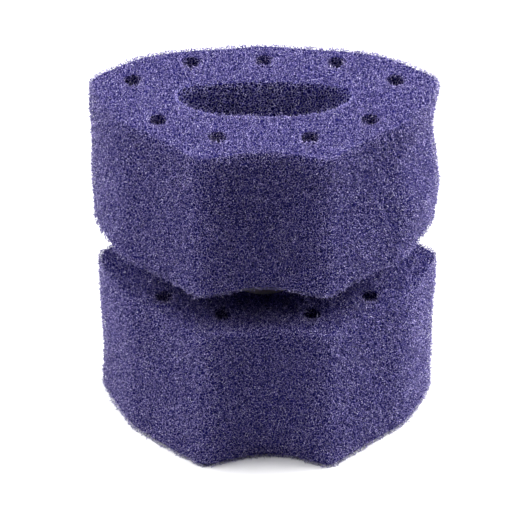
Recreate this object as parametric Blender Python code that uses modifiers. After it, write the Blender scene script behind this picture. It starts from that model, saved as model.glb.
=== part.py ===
"""Two fluted foam filter sponges, one above the other on a plastic spacer ring.

Metres, +Z up. The fluted faces look towards -Y, the sponges' long side lies along X,
and the origin is on the ground under the middle of the stack.
"""
import math

import bpy
from mathutils import Vector

# ---- sponge: overall sizes ----------------------------------------------------------------
SPONGE_LENGTH = 0.1525      # across the two side ridges, before their tips are rounded
SPONGE_DEPTH = 0.0915       # front ridges to the middle of the back, before rounding
SPONGE_HEIGHT = 0.0728      # thickness of the foam slab that each sponge is cut from

# ---- sponge: outline. Ridges are placed in shares of half the length and half the depth ----
FRONT_RIDGE = (0.365, -1.00)
SHOULDER_RIDGE = (0.800, -0.348)
SIDE_RIDGE = (1.000, 0.387)
BACK_RIDGE = (0.695, 0.785)
BACK_MIDDLE = (0.000, 1.000)
FRONT_FLUTE = 0.0065        # how far the middle front face is hollowed
SHOULDER_FLUTE = 0.0012     # how far each face beside it is hollowed
SIDE_CROWN = 0.0018         # how far each end face swells outwards
CORNER_CROWN = 0.0008       # the same on the short faces at the back corners
BACK_CROWN = 0.0015         # the same on each half of the back
RIDGE_ROUND = 0.0050        # length of flute that the rounding of a ridge takes up
ARC_STEPS = 8               # straight pieces in the arc of one face
ROUND_STEPS = 4             # straight pieces in the rounding of one ridge

# ---- sponge: central opening, a boat shape with its long axis along X ---------------------
OPENING_LENGTH = 0.0756
OPENING_AXIS_Y = 0.0055     # line on which the opening is longest
OPENING_FRONT = 0.0176      # from that line to the opening's front edge
OPENING_BACK = 0.0099       # from that line to its back edge
OPENING_FULLNESS = 2.2      # 2 is an ellipse, more is squarer
OPENING_STEPS = 40

# ---- sponge: small water holes, in shares of half the length and half the depth -----------
WATER_HOLE_DIAMETER = 0.0088
WATER_HOLE_STEPS = 20
WATER_HOLES = ((0.257, -0.593), (0.590, -0.311), (0.741, 0.361), (0.411, 0.667))
BACK_WATER_HOLE = (0.000, 0.715)

# ---- spacer ring --------------------------------------------------------------------------
SPONGE_GAP = 0.0205         # open height between the two sponges
RING_SEAT = 0.00225         # how far the ring reaches over the opening's front and back edge
RING_WALL = 0.0035
RING_EDGE = 0.0008          # rounding of the ring's four edges
RING_EDGE_STEPS = 3
RING_STEPS = 48
SEAT_CLEARANCE = 0.0003     # left between the ring and each sponge

SMALLEST_MERGE = 0.00001


def new_collection(name):
    collection = bpy.data.collections.new(name)
    bpy.context.scene.collection.children.link(collection)
    return collection


def new_material(name, colour, roughness, metallic=0.0):
    material = bpy.data.materials.new(name)
    material.use_nodes = True
    shader = material.node_tree.nodes["Principled BSDF"]
    shader.inputs["Base Color"].default_value = (*colour, 1.0)
    shader.inputs["Roughness"].default_value = roughness
    shader.inputs["Metallic"].default_value = metallic
    material.diffuse_color = (*colour, 1.0)
    return material


def on_plan(share):
    """A point of the sponge's plan from its shares of half the length and half the depth."""
    return Vector((share[0] * SPONGE_LENGTH / 2, share[1] * SPONGE_DEPTH / 2))


def arc_points(start, end, hollow):
    """Points from start to end on an arc whose middle lies `hollow` inside the straight line.

    The outline runs anticlockwise, so inside is to the left. A negative hollow is a crown.
    """
    along = end - start
    inward = Vector((-along.y, along.x)).normalized()
    points = []
    for step in range(ARC_STEPS + 1):
        share = step / ARC_STEPS
        points.append(start + along * share + inward * hollow * 4 * share * (1 - share))
    return points


def point_before_end(points, distance):
    """The point that lies `distance` before the end of a run of points, and how many stay."""
    left = distance
    for index in range(len(points) - 1, 0, -1):
        piece = points[index] - points[index - 1]
        if piece.length >= left:
            return points[index] - piece.normalized() * left, index
        left -= piece.length
    return points[0], 1


def trim_both_ends(points, distance):
    end, kept = point_before_end(points, distance)
    points = points[:kept] + [end]
    points.reverse()
    start, kept = point_before_end(points, distance)
    points = points[:kept] + [start]
    points.reverse()
    return points


def rounded_corner(start, corner, end):
    """Points between start and end on the curve that the two edges at the corner guide."""
    points = []
    for step in range(1, ROUND_STEPS):
        share = step / ROUND_STEPS
        points.append(start.lerp(corner, share).lerp(corner.lerp(end, share), share))
    return points


def sponge_outline():
    """The fluted outline, anticlockwise from the left front ridge."""
    right = [(FRONT_RIDGE, SHOULDER_FLUTE), (SHOULDER_RIDGE, -SIDE_CROWN),
             (SIDE_RIDGE, -CORNER_CROWN), (BACK_RIDGE, -BACK_CROWN)]
    left_faces = [-BACK_CROWN, -CORNER_CROWN, -SIDE_CROWN, SHOULDER_FLUTE]
    left_ridges = [BACK_MIDDLE, BACK_RIDGE, SIDE_RIDGE, SHOULDER_RIDGE]
    ridges = [(-FRONT_RIDGE[0], FRONT_RIDGE[1])]
    hollows = [FRONT_FLUTE]
    for ridge, hollow in right:
        ridges.append(ridge)
        hollows.append(hollow)
    for ridge, hollow in zip(left_ridges, left_faces):
        ridges.append((-ridge[0], ridge[1]))
        hollows.append(hollow)
    corners = [on_plan(ridge) for ridge in ridges]
    count = len(corners)
    faces = []
    for index in range(count):
        face = arc_points(corners[index], corners[(index + 1) % count], hollows[index])
        faces.append(trim_both_ends(face, RIDGE_ROUND))
    outline = []
    for index in range(count):
        before = faces[index - 1]
        after = faces[index]
        outline += rounded_corner(before[-1], corners[index], after[0])
        outline += after
    return outline


def opening_outline():
    """The boat-shaped central opening: shallow towards the back, deeper towards the front."""
    points = []
    power = 2 / OPENING_FULLNESS
    for step in range(OPENING_STEPS):
        angle = 2 * math.pi * step / OPENING_STEPS
        across = math.copysign(abs(math.cos(angle)) ** power, math.cos(angle))
        along = math.copysign(abs(math.sin(angle)) ** power, math.sin(angle))
        reach = OPENING_BACK if along > 0 else OPENING_FRONT
        points.append(Vector((across * OPENING_LENGTH / 2, OPENING_AXIS_Y + along * reach)))
    return points


def water_hole_centres():
    centres = [on_plan(BACK_WATER_HOLE)]
    for share in WATER_HOLES:
        for side in (1, -1):
            centres.append(on_plan((side * share[0], share[1])))
    return centres


def circle_points(centre, radius, steps):
    points = []
    for step in range(steps):
        angle = 2 * math.pi * step / steps
        points.append(centre + Vector((math.cos(angle), math.sin(angle))) * radius)
    return points


def add_loop(curve, points):
    spline = curve.splines.new("POLY")
    spline.points.add(len(points) - 1)
    for place, point in zip(spline.points, points):
        place.co = (point.x, point.y, 0.0, 1.0)
    spline.use_cyclic_u = True


def outline_middle_y():
    """Half way between the outline's front and back, which the stack stands centred on."""
    along = [point.y for point in sponge_outline()]
    return (min(along) + max(along)) / 2


def make_sponge(name, bottom, material, collection):
    """One sponge: the fluted outline with its openings, extruded to the foam's thickness."""
    curve = bpy.data.curves.new(name, "CURVE")
    curve.dimensions = "2D"
    curve.fill_mode = "BOTH"
    curve.extrude = SPONGE_HEIGHT / 2
    add_loop(curve, sponge_outline())
    add_loop(curve, opening_outline())
    for centre in water_hole_centres():
        add_loop(curve, circle_points(centre, WATER_HOLE_DIAMETER / 2, WATER_HOLE_STEPS))
    curve.materials.append(material)
    sponge = bpy.data.objects.new(name, curve)
    sponge.location = (0.0, -outline_middle_y(), bottom + SPONGE_HEIGHT / 2)
    collection.objects.link(sponge)
    return sponge


def ring_profile(height):
    """The ring's wall in section, from the top of its outer side downwards, closed."""
    outer = (OPENING_FRONT + OPENING_BACK) / 2 + RING_SEAT
    inner = outer - RING_WALL
    centres = (
        (outer - RING_EDGE, height - RING_EDGE, 90),
        (outer - RING_EDGE, RING_EDGE, 0),
        (inner + RING_EDGE, RING_EDGE, -90),
        (inner + RING_EDGE, height - RING_EDGE, 180),
    )
    points = []
    for across, up, first_angle in centres:
        for step in range(RING_EDGE_STEPS + 1):
            angle = math.radians(first_angle - 90 * step / RING_EDGE_STEPS)
            points.append((across + RING_EDGE * math.cos(angle), 0.0,
                           up + RING_EDGE * math.sin(angle)))
    return points


def make_ring(name, bottom, height, centre_y, material, collection):
    """The spacer ring, turned about its own upright axis."""
    points = ring_profile(height)
    edges = [(index, (index + 1) % len(points)) for index in range(len(points))]
    mesh = bpy.data.meshes.new(name)
    mesh.from_pydata(points, edges, [])
    mesh.materials.append(material)
    ring = bpy.data.objects.new(name, mesh)
    ring.location = (0.0, centre_y, bottom)
    collection.objects.link(ring)
    screw = ring.modifiers.new("turned", "SCREW")
    screw.axis = "Z"
    screw.steps = RING_STEPS
    screw.render_steps = RING_STEPS
    screw.use_merge_vertices = True
    screw.merge_threshold = SMALLEST_MERGE
    screw.use_smooth_shade = False
    return ring


def clear_scene():
    for item in list(bpy.data.objects):
        bpy.data.objects.remove(item, do_unlink=True)


def build():
    clear_scene()
    stack = new_collection("filter_sponge_stack")
    foam = new_material("purple_foam", (0.095, 0.070, 0.235), 0.9)
    plastic = new_material("pale_plastic", (0.55, 0.50, 0.40), 0.45)

    ring_bottom = SPONGE_HEIGHT + SEAT_CLEARANCE
    ring_height = SPONGE_GAP - 2 * SEAT_CLEARANCE
    upper_bottom = SPONGE_HEIGHT + SPONGE_GAP
    opening_middle_y = OPENING_AXIS_Y + (OPENING_BACK - OPENING_FRONT) / 2
    ring_centre_y = opening_middle_y - outline_middle_y()

    make_sponge("lower_sponge", 0.0, foam, stack)
    make_ring("spacer_ring", ring_bottom, ring_height, ring_centre_y, plastic, stack)
    make_sponge("upper_sponge", upper_bottom, foam, stack)


build()
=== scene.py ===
"""Looks of the filter sponge pair: open-cell foam, spacer ring, light and camera."""
import math

import bmesh
import bpy
import numpy as np
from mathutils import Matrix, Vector, geometry


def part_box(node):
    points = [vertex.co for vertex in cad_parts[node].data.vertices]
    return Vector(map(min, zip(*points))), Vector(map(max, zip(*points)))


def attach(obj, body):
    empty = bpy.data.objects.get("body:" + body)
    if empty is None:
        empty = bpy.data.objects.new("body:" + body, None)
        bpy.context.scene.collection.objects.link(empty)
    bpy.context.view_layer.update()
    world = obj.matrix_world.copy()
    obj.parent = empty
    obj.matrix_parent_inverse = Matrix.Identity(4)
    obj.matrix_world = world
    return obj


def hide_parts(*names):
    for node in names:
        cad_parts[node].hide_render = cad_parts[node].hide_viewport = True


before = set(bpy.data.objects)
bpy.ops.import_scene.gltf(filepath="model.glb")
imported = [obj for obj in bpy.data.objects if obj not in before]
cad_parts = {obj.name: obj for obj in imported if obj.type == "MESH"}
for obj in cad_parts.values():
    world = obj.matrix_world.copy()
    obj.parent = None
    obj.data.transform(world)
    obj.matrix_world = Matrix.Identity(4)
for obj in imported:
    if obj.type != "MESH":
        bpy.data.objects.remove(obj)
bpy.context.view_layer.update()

MM = 0.001

# ---- foam: sizes of the cells and struts ---------------------------------------------------
CELL = 1.30 * MM               # from one cell to the next; the real foam's are about 1.15 mm,
                               # drawn coarser to keep the number of triangles in bounds
STRUT_RADIUS = 0.110 * MM
STRUT_RADIUS_SPREAD = 0.035 * MM
CELL_WANDER = 0.26             # how far a point of the net strays to any side, in cells
CELL_RISE = 0.40               # how far one step of its lift in or out is, in cells
LIFT = (-1.2, 0.9)             # least and most steps of lift, inwards being negative
TOP_STUB_LENGTH = 2.1 * MM     # cut strut ends that stand out of the sawn top
SIDE_STUB_LENGTH = 1.7 * MM    # the same on the die-cut sides
HOLE_STUB_LENGTH = 0.9 * MM    # the same where the foam was punched rather than sliced
ROOT_LENGTH = 2.0 * MM         # struts that lead from the net into the foam
INNER_LENGTH = 2.0 * MM        # struts of the next cells in, which rise from the inner body
INNER_DENSITY = 0.60e6         # how many of them stand on a square metre
CORE_DEPTH = 1.35 * MM         # how far the dense inner body lies behind the net
GLINT = 0.5 * MM               # how far apart the painted highlights and painted shade lie along a strut
CORE_CELL = 2.6 * MM           # spacing of the inner body's own mesh
OPENING_NET_DEPTH = 26 * MM    # how far down the central opening the net is seen
HOLE_NET_DEPTH = 8 * MM        # the same in the small water holes

# ---- foam: spikes, which are the strut ends that stand on the net --------------------------
# Which length, out (1) or in (-1), step of the seed, chance at each point, girth in radii
SPIKES = (("Stub Length", 1.0, 11, 0.52, 1.7), ("Root Length", -1.0, 23, 0.15, 1.1))
SPIKE_LEAN = 0.75              # how far a spike leans, against a straight one of length 1
SPIKE_SIZES = (0.4, 1.25)      # least and most share of the length
INNER_LEAN = 1.1
INNER_SIZES = (0.6, 1.3)
INNER_GIRTH = 1.2
STRUT_SIDES = 3

# ---- foam: how the points of a skin are spread ---------------------------------------------
ROW_STEP = 0.87                # from one row of points to the next, in spacings
SCATTER = 0.42                 # how far a point is moved out of its row, in spacings
FLAT_MARGIN = 0.60             # how far points keep from the rims of a flat face, in spacings
WALL_MARGIN = 0.55             # the same on a wall
FEWEST_MARKS = 8               # along a rim
FEWEST_LEVELS = 3              # up a seam
RIM_TOLERANCE = 0.01 * MM      # how far below the top a corner may lie and still be of the top
MERGE_DISTANCE = 0.002 * MM
SAME_POINT = 1e-9

# ---- foam: how each sponge strays from its true shape --------------------------------------
# A swell pushes the foam by so much around a place: (x, y) and share of the height, how far
# it reaches in plan and in share of the height, and the push in x and y. Lengths in mm.
SWELLS = {
    "lower_sponge": (
        ((46, -34), 0.00, 24, 0.60, (0.9, -1.7)),
        ((-46, -34), 0.00, 24, 0.60, (-1.1, -2.8)),
        ((0, -42), 0.00, 18, 0.60, (0.0, 1.6)),
        ((70, 20), 1.00, 22, 0.50, (0.6, 1.4)),
        ((-70, 20), 1.00, 22, 0.50, (-0.2, 1.0)),
        ((-75, 0), 0.35, 40, 0.35, (1.1, 0.0)),
        ((75, 0), 0.40, 45, 0.30, (-0.6, 0.0))),
    "upper_sponge": (
        ((75, 0), 0.70, 45, 0.15, (-2.0, 0.0)),
        ((75, 0), 0.30, 45, 0.17, (2.4, 0.0)),
        ((75, 0), 1.00, 45, 0.15, (0.9, 0.0)),
        ((-75, 0), 0.85, 45, 0.30, (0.2, 0.0)),
        ((-75, 0), 0.15, 45, 0.25, (0.2, 0.0)),
        ((0, -40), 0.00, 18, 0.60, (0.0, 0.9)),
        ((50, 38), 1.00, 26, 2.00, (0.3, 1.4)),
        ((-50, 38), 1.00, 26, 2.00, (-0.3, 1.2))),
}
SHIFT = {"lower_sponge": 1.5 * MM, "upper_sponge": 0.0}
WAVE_LENGTH = 38 * MM          # slow unevenness of the cut faces
WAVE = 0.3 * MM

# ---- sponges: CAD node, body and seed ------------------------------------------------------
SPONGES = (("lower_sponge", "lower", 3), ("upper_sponge", "upper", 7))
# Each region of the skin becomes a piece of its own. The walls go round from +X.
REGIONS = ("top", "right", "back", "left", "front", "opening", "holes")
WALL_REGIONS = 4
STUB_LENGTHS = {
    "top": TOP_STUB_LENGTH, "opening": HOLE_STUB_LENGTH, "holes": HOLE_STUB_LENGTH,
    "right": SIDE_STUB_LENGTH, "back": SIDE_STUB_LENGTH,
    "left": SIDE_STUB_LENGTH, "front": SIDE_STUB_LENGTH}

# ---- camera, light and floor ---------------------------------------------------------------
CAMERA_ELEVATION = 36.0
CAMERA_DISTANCE = 1.493
CAMERA_AIM_HEIGHT = 0.0795
LENS_MM = 229.7
SENSOR_MM = 36.0
LIGHT_AIM = (0.0, 0.0, 0.08)
SOFTBOXES = (                  # name, place, size and power
    ("left_softbox", (-0.72, 0.12, 0.67), (0.9, 0.6), 16.6),
    ("right_softbox", (0.72, 0.24, 0.67), (0.9, 0.6), 26.5),
    ("top_softbox", (0.0, -0.36, 1.15), (1.0, 0.8), 5.2),
)
SKY_LIGHT = 0.018              # strength of the white surround on everything but the camera
SKY_SEEN = 1.0                 # its strength as the camera sees it
FLOOR_RADIUS = 0.72
FLOOR_CORNERS = 96


def linear(hex_colour):
    """An sRGB hex colour as linear red, green, blue and one."""
    channels = [int(hex_colour[place:place + 2], 16) / 255 for place in (1, 3, 5)]
    return (*[value / 12.92 if value <= 0.04045 else ((value + 0.055) / 1.055) ** 2.4
              for value in channels], 1.0)


def add_node(tree, kind, settings=None, inputs=None):
    """Adds a node with its settings, and sets or links each named or numbered input."""
    node = tree.nodes.new(kind)
    for name, value in (settings or {}).items():
        setattr(node, name, value)
    for name, value in (inputs or {}).items():
        if isinstance(value, bpy.types.NodeSocket):
            tree.links.new(value, node.inputs[name])
        else:
            node.inputs[name].default_value = value
    return node


# ---- materials -----------------------------------------------------------------------------
def new_material(name):
    material = bpy.data.materials.new(name)
    material.use_nodes = True
    tree = material.node_tree
    return material, tree, tree.nodes["Principled BSDF"]


def colour_ramp(tree, factor, *stops):
    """The colour at a factor between (position, hex colour) stops."""
    ramp = add_node(tree, "ShaderNodeValToRGB", None, {"Fac": factor})
    elements = ramp.color_ramp.elements
    for number, (position, hex_colour) in enumerate(stops):
        element = elements[number] if number < 2 else elements.new(position)
        element.position = position
        element.color = linear(hex_colour)
    return ramp.outputs["Color"]


def foam_strut_material(name, dark, bright):
    """Open-cell polyester foam, dyed purple.

    Fine, smooth struts: mostly deep purple, with lighter stretches and small pale glints
    painted into the colour as highlights where a strut turns to the light, which gives the
    foam its sparkle; the darker stretches are painted shade. Mixed, they average to the
    foam's own purple.
    """
    material, tree, shader = new_material(name)
    place = add_node(tree, "ShaderNodeTexCoord").outputs["Object"]
    fine_noise = add_node(tree, "ShaderNodeTexNoise", None,
                     {"Vector": place, "Scale": 1 / GLINT, "Detail": 1.0})
    # Painted light and shade: noise makes each stretch of strut dark, lighter or a pale glint,
    # standing for how it faces the lamps
    colour = colour_ramp(tree, fine_noise.outputs["Fac"],
                         (0.44, dark), (0.65, bright), (0.69, "#efecff"))
    tree.links.new(colour, shader.inputs["Base Color"])
    shader.inputs["Roughness"].default_value = 0.25
    shader.inputs["Specular IOR Level"].default_value = 0.2
    shader.inputs["IOR"].default_value = 1.5
    return material


def painted_shade_depth_material():
    """The same foam deeper in: dark cells between struts that still catch some light.

    Dull and nearly black-blue: painted shade, the foam's purple darkened to stand for the
    shade deep inside it, so that the gaps of the net read as depth. The cell edges are
    painted a little lighter, as deeper struts that still catch some light.
    """
    material, tree, shader = new_material("purple_polyester_depth_painted_shade")
    place = add_node(tree, "ShaderNodeTexCoord").outputs["Object"]
    cells = add_node(tree, "ShaderNodeTexVoronoi", {"feature": "DISTANCE_TO_EDGE"},
                     {"Vector": place, "Scale": 1 / CELL})
    # Painted shade: cells nearly black-blue and their edges a little lighter, all far darker
    # than the foam's own purple
    colour = colour_ramp(tree, cells.outputs["Distance"], (0.05, "#1e1b63"), (0.22, "#0a0a38"))
    tree.links.new(colour, shader.inputs["Base Color"])
    shader.inputs["Roughness"].default_value = 0.8
    shader.inputs["Specular IOR Level"].default_value = 0.05
    return material


def ring_material():
    """Moulded polypropylene, undyed: a dull cream with a soft, slightly uneven shine."""
    material, tree, shader = new_material("cream_moulded_polypropylene")
    place = add_node(tree, "ShaderNodeTexCoord").outputs["Object"]
    mottle = add_node(tree, "ShaderNodeTexNoise", None,
                      {"Vector": place, "Scale": 1 / (6 * MM), "Detail": 3.0})
    colour = colour_ramp(tree, mottle.outputs["Fac"], (0.0, "#c2b9a6"), (1.0, "#d0c8b6"))
    tree.links.new(colour, shader.inputs["Base Color"])
    fine_noise = add_node(tree, "ShaderNodeTexNoise", None,
                     {"Vector": place, "Scale": 1 / (0.8 * MM), "Detail": 2.0})
    dull = add_node(tree, "ShaderNodeMapRange", None,
                    {"Value": mottle.outputs["Fac"], "To Min": 0.34, "To Max": 0.52})
    tree.links.new(dull.outputs["Result"], shader.inputs["Roughness"])
    relief = add_node(tree, "ShaderNodeBump", None,
                      {"Strength": 0.15, "Distance": 0.05 * MM, "Height": fine_noise.outputs["Fac"]})
    tree.links.new(relief.outputs["Normal"], shader.inputs["Normal"])
    return material


# ---- the sponge's skin, as a net of triangles one cell wide --------------------------------
def rims(node):
    """The rims of a sponge's flat top in plan: the outline, the opening, then the holes.

    Each runs so that the foam is on its left.
    """
    mesh = node.data
    top = max(vertex.co.z for vertex in mesh.vertices)
    edges = set()
    for face in mesh.polygons:
        corners = [mesh.vertices[index].co for index in face.vertices]
        if min(corner.z for corner in corners) < top - RIM_TOLERANCE:
            continue
        keys = [(round(corner.x / MM, 4), round(corner.y / MM, 4)) for corner in corners]
        edges.update(zip(keys, keys[1:] + keys[:1]))
    follows = {start: end for start, end in edges if (end, start) not in edges}
    loops = []
    while follows:
        start, place = follows.popitem()
        loop = [start]
        while place != start:
            loop.append(place)
            place = follows.pop(place)
        loops.append(np.array(loop) * MM)
    loops.sort(key=lambda loop: np.ptp(loop[:, 0]), reverse=True)
    return loops


class Rim:
    """A closed rim that gives the place at any distance along it."""

    def __init__(self, loop):
        self.points = np.vstack([loop, loop[:1]])
        steps = np.linalg.norm(np.diff(self.points, axis=0), axis=1)
        self.along = np.concatenate([[0.0], np.cumsum(steps)])
        self.length = self.along[-1]

    def at(self, distance):
        distance = np.mod(distance, self.length)
        return np.column_stack([np.interp(distance, self.along, self.points[:, axis])
                                for axis in (0, 1)])

    def marks(self, spacing):
        """Distances that divide the rim evenly, without its end."""
        count = max(FEWEST_MARKS, round(self.length / spacing))
        return np.arange(count) * self.length / count


def scattered(width, height, spacing, random):
    """Points spread over a rectangle: a staggered grid, each point moved a little."""
    rows = np.arange(0.0, height, spacing * ROW_STEP)
    columns = np.arange(0.0, width, spacing)
    across, up = np.meshgrid(columns, rows)
    across = across + (np.arange(len(rows)) % 2)[:, None] * spacing / 2
    points = np.column_stack([across.ravel(), up.ravel()])
    return points + random.uniform(-SCATTER, SCATTER, points.shape) * spacing


def triangles_between(points):
    """Triangles between flat points, as rows of the points' own numbers."""
    result = geometry.delaunay_2d_cdt([Vector(point) for point in points.tolist()], [], [],
                                      0, SAME_POINT)
    if len(result[0]) != len(points):
        raise ValueError("two points of the skin fell together")
    faces = np.array(result[2])
    order = np.array([origin[0] for origin in result[3]])
    return order[faces]


def inside(points, loop):
    """Which points lie inside a closed loop, by counting the edges on one side."""
    found = np.zeros(len(points), bool)
    for start, end in zip(loop, np.roll(loop, -1, axis=0)):
        crosses = (start[1] > points[:, 1]) != (end[1] > points[:, 1])
        if crosses.any():
            slope = (end[0] - start[0]) / (end[1] - start[1])
            found ^= crosses & (points[:, 0] < start[0] + slope * (points[:, 1] - start[1]))
    return found


def within_foam(points, outlines):
    """Which points lie inside the first outline and in none of the others."""
    found = inside(points, outlines[0])
    for hole in outlines[1:]:
        found &= ~inside(points, hole)
    return found


def flat_patch(loops, height, spacing, random, faces_up):
    """The flat top or bottom between the rims: places, triangles and places on the map."""
    outlines = [rim.at(rim.marks(spacing)) for rim in loops]
    rim_points = np.vstack(outlines)
    low, high = rim_points.min(axis=0), rim_points.max(axis=0)
    grains = low + scattered(*(high - low), spacing, random)
    grains = grains[within_foam(grains, outlines)]
    near = np.full(len(grains), np.inf)
    for point in rim_points:
        near = np.minimum(near, np.hypot(*(grains - point).T))
    points = np.vstack([rim_points, grains[near > FLAT_MARGIN * spacing]])
    faces = triangles_between(points)
    faces = faces[within_foam(points[faces].mean(axis=1), outlines)]
    if not faces_up:
        faces = faces[:, ::-1]
    low, high = points.min(axis=0), points.max(axis=0)
    return (np.column_stack([points, np.full(len(points), height)]), faces,
            (points - low) / (high - low))


def wall_patch(rim, bottom, top, spacing, random):
    """An upright wall over a rim, unrolled flat to be divided; the same three results."""
    height = top - bottom
    levels = np.linspace(0.0, height, max(FEWEST_LEVELS, round(height / spacing)))
    seam = levels[1:-1]
    grains = scattered(rim.length, height, spacing, random)
    gap = WALL_MARGIN * spacing
    keep = ((grains[:, 0] > gap) & (grains[:, 0] < rim.length - gap)
            & (grains[:, 1] > gap) & (grains[:, 1] < height - gap))
    marks = np.append(rim.marks(spacing), rim.length)
    points = np.vstack([
        np.column_stack([marks, np.zeros(len(marks))]),
        np.column_stack([marks, np.full(len(marks), height)]),
        np.column_stack([np.zeros(len(seam)), seam]),
        np.column_stack([np.full(len(seam), rim.length), seam]),
        grains[keep],
    ])
    faces = triangles_between(points)
    places = np.column_stack([rim.at(points[:, 0]), bottom + points[:, 1]])
    return places, faces, points / (rim.length, height)


def skin_mesh(name, patches, settled):
    """Joins patches of (places, faces, map places, region) into one mesh, seams closed."""
    places, faces, mapped, regions = [], [], [], []
    total = 0
    for patch_places, patch_faces, patch_map, region in patches:
        places.append(patch_places)
        faces.append(patch_faces + total)
        mapped.append(patch_map[patch_faces].mean(axis=1))
        regions.append(np.broadcast_to(np.int32(region), len(patch_faces)))
        total += len(patch_places)
    places, faces = settled(np.vstack(places)), np.vstack(faces)
    mapped, regions = np.vstack(mapped), np.concatenate(regions)
    mesh = bpy.data.meshes.new(name)
    mesh.from_pydata(places.tolist(), [], faces.tolist())
    spot = mesh.attributes.new("map_place", "FLOAT_VECTOR", "FACE")
    spot.data.foreach_set("vector", np.column_stack([mapped, np.zeros(len(mapped))]).ravel())
    mesh.attributes.new("region", "INT", "FACE").data.foreach_set("value", regions)
    shape = bmesh.new()
    shape.from_mesh(mesh)
    bmesh.ops.remove_doubles(shape, verts=shape.verts, dist=MERGE_DISTANCE)
    shape.to_mesh(mesh)
    shape.free()
    return mesh


def drop_attributes(mesh):
    """Takes away what the skin carried for the net tree."""
    for extra in ("map_place", "region"):
        if extra in mesh.attributes:
            mesh.attributes.remove(mesh.attributes[extra])


# ---- Geometry Nodes: the net of struts -----------------------------------------------------
def reckon(tree, operation, first, second):
    return add_node(tree, "ShaderNodeMath", {"operation": operation},
                    {0: first, 1: second}).outputs[0]


def scaled(tree, vector, factor):
    return add_node(tree, "ShaderNodeVectorMath", {"operation": "SCALE"},
                    {0: vector, "Scale": factor}).outputs[0]


def added(tree, first, second):
    return add_node(tree, "ShaderNodeVectorMath", {"operation": "ADD"},
                    {0: first, 1: second}).outputs[0]


def same(tree, first, second):
    return add_node(tree, "FunctionNodeCompare", {"data_type": "INT", "operation": "EQUAL"},
                    {2: first, 3: second}).outputs[0]


def random_number(tree, low, high, seed):
    return add_node(tree, "FunctionNodeRandomValue", {"data_type": "FLOAT"},
                    {2: low, 3: high, "Seed": seed}).outputs[1]


def random_vector(tree, reach, seed):
    return add_node(tree, "FunctionNodeRandomValue", {"data_type": "FLOAT_VECTOR"},
                    {0: (-reach,) * 3, 1: (reach,) * 3, "Seed": seed}).outputs[0]


def add_spikes(tree, given, length, points, selection, way, lean, sizes, girth, seed):
    """A thin three-sided cone on each chosen point, along `way` but for a random lean."""
    cone = add_node(tree, "GeometryNodeMeshCone", {"fill_type": "NGON"},
                    {"Vertices": STRUT_SIDES, "Radius Top": 0.0,
                     "Radius Bottom": given["Strut Radius"], "Depth": given[length]})
    aim = added(tree, way, random_vector(tree, lean, seed))
    turn = add_node(tree, "FunctionNodeAlignRotationToVector", {"axis": "Z"}, {"Vector": aim})
    stretch = add_node(tree, "ShaderNodeCombineXYZ", None,
                       {"X": girth, "Y": girth, "Z": random_number(tree, *sizes, seed)})
    return add_node(tree, "GeometryNodeInstanceOnPoints", None,
                    {"Points": points, "Selection": selection,
                     "Instance": cone.outputs["Mesh"], "Rotation": turn.outputs["Rotation"],
                     "Scale": stretch.outputs["Vector"]})


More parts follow.
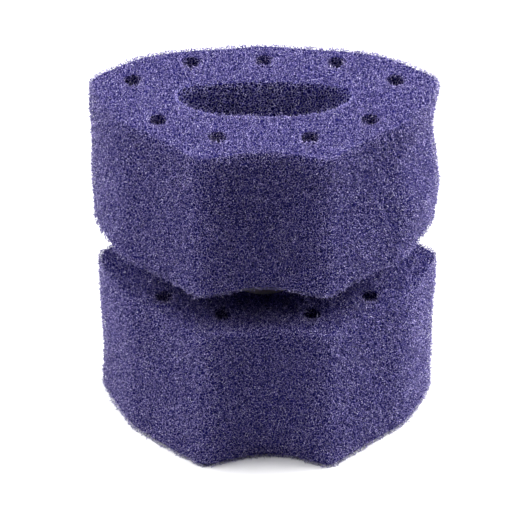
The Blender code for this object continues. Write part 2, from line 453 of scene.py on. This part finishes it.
def strut_tree():
    """Turns a skin of triangles into open cells: struts, roots into the foam and cut stubs."""
    tree = bpy.data.node_groups.new("open_cell_struts", "GeometryNodeTree")
    face = tree.interface
    face.new_socket("Skin", in_out="INPUT", socket_type="NodeSocketGeometry")
    for name, kind in (("Region", "Int"), ("Cell", "Float"), ("Wander", "Float"),
                       ("Rise", "Float"), ("Strut Radius", "Float"),
                       ("Radius Spread", "Float"), ("Stub Length", "Float"),
                       ("Root Length", "Float"), ("Inner Length", "Float"),
                       ("Inner Density", "Float"), ("Depth", "Float"), ("Seed", "Int"),
                       ("Foam", "Material")):
        face.new_socket(name, in_out="INPUT", socket_type="NodeSocket" + kind)
    face.new_socket("Struts", in_out="OUTPUT", socket_type="NodeSocketGeometry")
    given = add_node(tree, "NodeGroupInput").outputs
    seed = given["Seed"]

    # The net: one point for each triangle of the skin, moved to the side and in or out
    cells = add_node(tree, "GeometryNodeDualMesh", None, {"Mesh": given["Skin"]})
    normal = add_node(tree, "GeometryNodeInputNormal").outputs["Normal"]
    sideways = scaled(tree, random_vector(tree, 1.0, seed),
                      reckon(tree, "MULTIPLY", given["Cell"], given["Wander"]))
    rise = reckon(tree, "MULTIPLY", given["Cell"], given["Rise"])
    outward = scaled(tree, normal,
                     reckon(tree, "MULTIPLY", random_number(tree, *LIFT, seed), rise))
    held = add_node(tree, "GeometryNodeCaptureAttribute", None,
                    {"Geometry": cells.outputs["Dual Mesh"]})
    held.capture_items.new("VECTOR", "Facing")
    tree.links.new(normal, held.inputs["Facing"])
    net = add_node(tree, "GeometryNodeSetPosition", None,
                   {"Geometry": held.outputs["Geometry"],
                    "Offset": added(tree, sideways, outward)})

    # What belongs to the region asked for: by edge, and by point of the net or face of the skin
    region = add_node(tree, "GeometryNodeInputNamedAttribute", {"data_type": "INT"},
                      {"Name": "region"}).outputs["Attribute"]
    ends = add_node(tree, "GeometryNodeInputMeshEdgeVertices")
    region_of_edge = add_node(tree, "GeometryNodeFieldAtIndex",
                              {"domain": "POINT", "data_type": "INT"},
                              {"Value": region, "Index": ends.outputs["Vertex Index 1"]})
    edge_here = same(tree, region_of_edge.outputs[0], given["Region"])
    place_here = same(tree, region, given["Region"])

    # Struts along the net's edges, each a little thinner or thicker
    lines = add_node(tree, "GeometryNodeMeshToCurve", None,
                     {"Mesh": net.outputs["Geometry"], "Selection": edge_here})
    thin = reckon(tree, "SUBTRACT", given["Strut Radius"], given["Radius Spread"])
    thick = reckon(tree, "ADD", given["Strut Radius"], given["Radius Spread"])
    section = add_node(tree, "GeometryNodeCurvePrimitiveCircle", {"mode": "RADIUS"},
                       {"Resolution": STRUT_SIDES, "Radius": 1.0})
    struts = add_node(tree, "GeometryNodeCurveToMesh", None,
                      {"Curve": lines.outputs["Curve"],
                       "Profile Curve": section.outputs["Curve"],
                       "Scale": random_number(tree, thin, thick, seed), "Fill Caps": True})

    # Stubs out of the net and roots into the foam, on some of its points
    spikes = []
    for length, sign, seed_step, chance, girth in SPIKES:
        spike_seed = reckon(tree, "ADD", seed, float(seed_step))
        chosen = add_node(tree, "FunctionNodeRandomValue", {"data_type": "BOOLEAN"},
                          {"Probability": chance, "Seed": spike_seed})
        both = add_node(tree, "FunctionNodeBooleanMath", {"operation": "AND"},
                        {0: chosen.outputs[3], 1: place_here})
        spikes.append(add_spikes(
            tree, given, length, net.outputs["Geometry"], both.outputs[0],
            scaled(tree, held.outputs["Facing"], sign),
            SPIKE_LEAN, SPIKE_SIZES, girth, spike_seed))

    # Struts of the next cells in, which stand on the inner body
    feet = add_node(tree, "GeometryNodeDistributePointsOnFaces", {"distribute_method": "RANDOM"},
                    {"Mesh": given["Skin"], "Selection": place_here,
                     "Density": given["Inner Density"], "Seed": seed})
    inward = reckon(tree, "MULTIPLY", given["Depth"], -1.0)
    sunk_feet = add_node(tree, "GeometryNodeSetPosition", None,
                         {"Geometry": feet.outputs["Points"],
                          "Offset": scaled(tree, feet.outputs["Normal"], inward)})
    spikes.append(add_spikes(
        tree, given, "Inner Length", sunk_feet.outputs["Geometry"], True,
        feet.outputs["Normal"], INNER_LEAN, INNER_SIZES, INNER_GIRTH, seed))

    joined = add_node(tree, "GeometryNodeJoinGeometry")
    for part in (*spikes, struts):
        tree.links.new(part.outputs[0], joined.inputs[0])
    real = add_node(tree, "GeometryNodeRealizeInstances", None,
                    {"Geometry": joined.outputs["Geometry"]})
    place = add_node(tree, "GeometryNodeInputNamedAttribute", {"data_type": "FLOAT_VECTOR"},
                     {"Name": "map_place"})
    mapped = add_node(tree, "GeometryNodeStoreNamedAttribute",
                      {"data_type": "FLOAT2", "domain": "CORNER"},
                      {"Geometry": real.outputs["Geometry"], "Name": "OFBake",
                       "Value": place.outputs["Attribute"]})
    dyed = add_node(tree, "GeometryNodeSetMaterial", None,
                    {"Geometry": mapped.outputs["Geometry"], "Material": given["Foam"]})
    result = add_node(tree, "NodeGroupOutput")
    tree.links.new(dyed.outputs["Geometry"], result.inputs["Struts"])
    return tree


def from_tree(name, mesh, tree, values):
    """Runs a tree on a mesh with the values given by name, and returns the plain result."""
    source = bpy.data.objects.new(name, mesh)
    bpy.context.collection.objects.link(source)
    grown = source.modifiers.new("grown", "NODES")
    grown.node_group = tree
    for item in tree.interface.items_tree:
        if item.item_type == "SOCKET" and item.in_out == "INPUT" and item.name in values:
            grown[item.identifier] = values[item.name]
    graph = bpy.context.evaluated_depsgraph_get()
    result = bpy.data.meshes.new_from_object(source.evaluated_get(graph), depsgraph=graph)
    bpy.data.objects.remove(source, do_unlink=True)
    drop_attributes(result)
    piece = bpy.data.objects.new(name, result)
    bpy.context.collection.objects.link(piece)
    return piece


# ---- the two sponges -----------------------------------------------------------------------
def settling(node_name, bottom, top, random):
    """A function that moves places of a sponge to where the real, uneven foam has them."""
    phases = random.uniform(0.0, 2 * math.pi, 4)

    def settled(places):
        turns = places * 2 * math.pi / WAVE_LENGTH
        share = (places[:, 2] - bottom) / (top - bottom)
        moved = places.copy()
        moved[:, 0] += SHIFT[node_name]
        for middle, level, reach, reach_up, push in SWELLS[node_name]:
            away = np.hypot(places[:, 0] / MM - middle[0], places[:, 1] / MM - middle[1]) / reach
            near = np.exp(-away ** 2 - ((share - level) / reach_up) ** 2)
            moved[:, :2] += near[:, None] * np.array(push) * MM
        moved[:, 0] += WAVE * np.sin(turns[:, 2] + phases[0]) * np.sin(turns[:, 1] + phases[1])
        moved[:, 1] += WAVE * np.sin(turns[:, 2] + phases[2]) * np.sin(turns[:, 0] + phases[3])
        return moved

    return settled


def wall_regions(places, faces):
    """The number of the region that each triangle of the outer wall lies in, by its heading."""
    middles = places[faces].mean(axis=1)
    heading = np.arctan2(middles[:, 1], middles[:, 0]) / (2 * math.pi) * WALL_REGIONS
    return REGIONS.index("right") + np.round(heading).astype(np.int32) % WALL_REGIONS


def net_skin(node_name, loops, bottom, top, random, settled):
    """The skin that the strut net grows on: top, outer wall, opening and water holes."""
    outline, opening, holes = loops[0], loops[1], loops[2:]
    patches = [(*flat_patch(loops, top, CELL, random, True), REGIONS.index("top"))]
    wall = wall_patch(outline, bottom, top, CELL, random)
    patches.append((*wall, wall_regions(wall[0], wall[1])))
    opening_bottom = max(bottom, top - OPENING_NET_DEPTH)
    patches.append((*wall_patch(opening, opening_bottom, top, CELL, random),
                    REGIONS.index("opening")))
    for hole in holes:
        patches.append((*wall_patch(hole, top - HOLE_NET_DEPTH, top, CELL, random),
                        REGIONS.index("holes")))
    return skin_mesh(node_name + "_skin", patches, settled)


def inner_body(node_name, loops, bottom, top, random, settled, material):
    """The dense inside of the foam, a closed body a little way behind the skin."""
    patches = []
    for height, faces_up in ((top, True), (bottom, False)):
        patches.append((*flat_patch(loops, height, CORE_CELL, random, faces_up), 0))
    for rim in loops:
        patches.append((*wall_patch(rim, bottom, top, CORE_CELL, random), 0))
    mesh = skin_mesh(node_name + "_foam", patches, settled)
    shape = bmesh.new()
    shape.from_mesh(mesh)
    shape.normal_update()
    normals = [vertex.normal.copy() for vertex in shape.verts]
    for vertex, normal in zip(shape.verts, normals):
        vertex.co -= normal * CORE_DEPTH
    shape.to_mesh(mesh)
    shape.free()
    drop_attributes(mesh)
    # The inner body takes the depth foam, painted dark as shade
    mesh.materials.append(material)
    core = bpy.data.objects.new(node_name + "_foam", mesh)
    bpy.context.collection.objects.link(core)
    return core


def build_sponge(node_name, body, seed, tree, struts, opening_struts_painted_light, depth):
    low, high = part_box(node_name)
    bottom, top = low[2], high[2]
    loops = [Rim(loop) for loop in rims(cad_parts[node_name])]
    random = np.random.default_rng(seed)
    settled = settling(node_name, bottom, top, random)
    skin = net_skin(node_name, loops, bottom, top, random, settled)
    for number, region in enumerate(REGIONS):
        piece = from_tree(f"{node_name}_struts_{region}", skin, tree, {
            "Region": number, "Cell": CELL, "Wander": CELL_WANDER, "Rise": CELL_RISE,
            "Strut Radius": STRUT_RADIUS, "Radius Spread": STRUT_RADIUS_SPREAD,
            "Stub Length": STUB_LENGTHS[region], "Root Length": ROOT_LENGTH,
            "Inner Length": INNER_LENGTH, "Inner Density": INNER_DENSITY,
            "Depth": CORE_DEPTH, "Seed": seed,
            # The central opening gets a lighter copy of the foam: painted light on its inside
            "Foam": opening_struts_painted_light if region == "opening" else struts})
        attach(piece, body)
        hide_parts(node_name)

    core = inner_body(node_name, loops, bottom, top, random, settled, depth)
    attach(core, body)
    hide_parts(node_name)


# ---- stage ---------------------------------------------------------------------------------
def build_camera():
    elevation = math.radians(CAMERA_ELEVATION)
    aim = Vector((0.0, 0.0, CAMERA_AIM_HEIGHT))
    data = bpy.data.cameras.new("camera")
    data.lens = LENS_MM
    data.sensor_width = SENSOR_MM
    camera = bpy.data.objects.new("camera", data)
    back = Vector((0.0, -math.cos(elevation), math.sin(elevation)))
    camera.location = aim + back * CAMERA_DISTANCE
    camera.rotation_euler = (-back).to_track_quat("-Z", "Y").to_euler()
    bpy.context.collection.objects.link(camera)
    bpy.context.scene.camera = camera


def add_light(name, place, size, power):
    data = bpy.data.lights.new(name, "AREA")
    data.shape = "RECTANGLE"
    data.size, data.size_y = size
    data.energy = power
    light = bpy.data.objects.new(name, data)
    light.location = place
    aim = Vector(LIGHT_AIM) - Vector(place)
    light.rotation_euler = aim.to_track_quat("-Z", "Y").to_euler()
    bpy.context.collection.objects.link(light)


def build_light():
    for softbox in SOFTBOXES:
        add_light(*softbox)
    world = bpy.data.worlds.new("studio")
    world.use_nodes = True
    tree = world.node_tree
    sky = tree.nodes["Background"]
    sky.inputs["Color"].default_value = linear("#ffffff")
    seen = add_node(tree, "ShaderNodeLightPath").outputs["Is Camera Ray"]
    strength = add_node(tree, "ShaderNodeMapRange", None,
                        {"Value": seen, "To Min": SKY_LIGHT, "To Max": SKY_SEEN})
    tree.links.new(strength.outputs["Result"], sky.inputs["Strength"])
    bpy.context.scene.world = world


def build_stage():
    """A round sheet of white paper, dull and even."""
    bpy.ops.mesh.primitive_circle_add(vertices=FLOOR_CORNERS, radius=FLOOR_RADIUS,
                                      fill_type="NGON")
    floor = bpy.context.object
    floor.name = "studio_floor"
    material, tree, shader = new_material("white_studio_paper")
    shader.inputs["Base Color"].default_value = linear("#eeeeee")
    shader.inputs["Roughness"].default_value = 0.9
    floor.data.materials.append(material)


build_camera()
build_light()
build_stage()
bpy.context.scene.view_settings.view_transform = "Standard"
strut_plan = strut_tree()
# Strut foam: its own purple, with painted highlights and painted shade along the struts
strut_foam = foam_strut_material("purple_polyester_struts", "#1b1a62", "#b5a8e6")
# A lighter copy of the strut foam, used only in the central opening: painted light that
# brightens its inside
opening_foam_painted_light = foam_strut_material("purple_polyester_opening_struts_painted_light", "#302890", "#d6ceff")
# The foam's inside, painted dark as shade behind the net
shaded_depth_foam = painted_shade_depth_material()
for sponge in SPONGES:
    build_sponge(*sponge, strut_plan, strut_foam, opening_foam_painted_light, shaded_depth_foam)
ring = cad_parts["spacer_ring"]
ring.data.materials.clear()
ring.data.materials.append(ring_material())
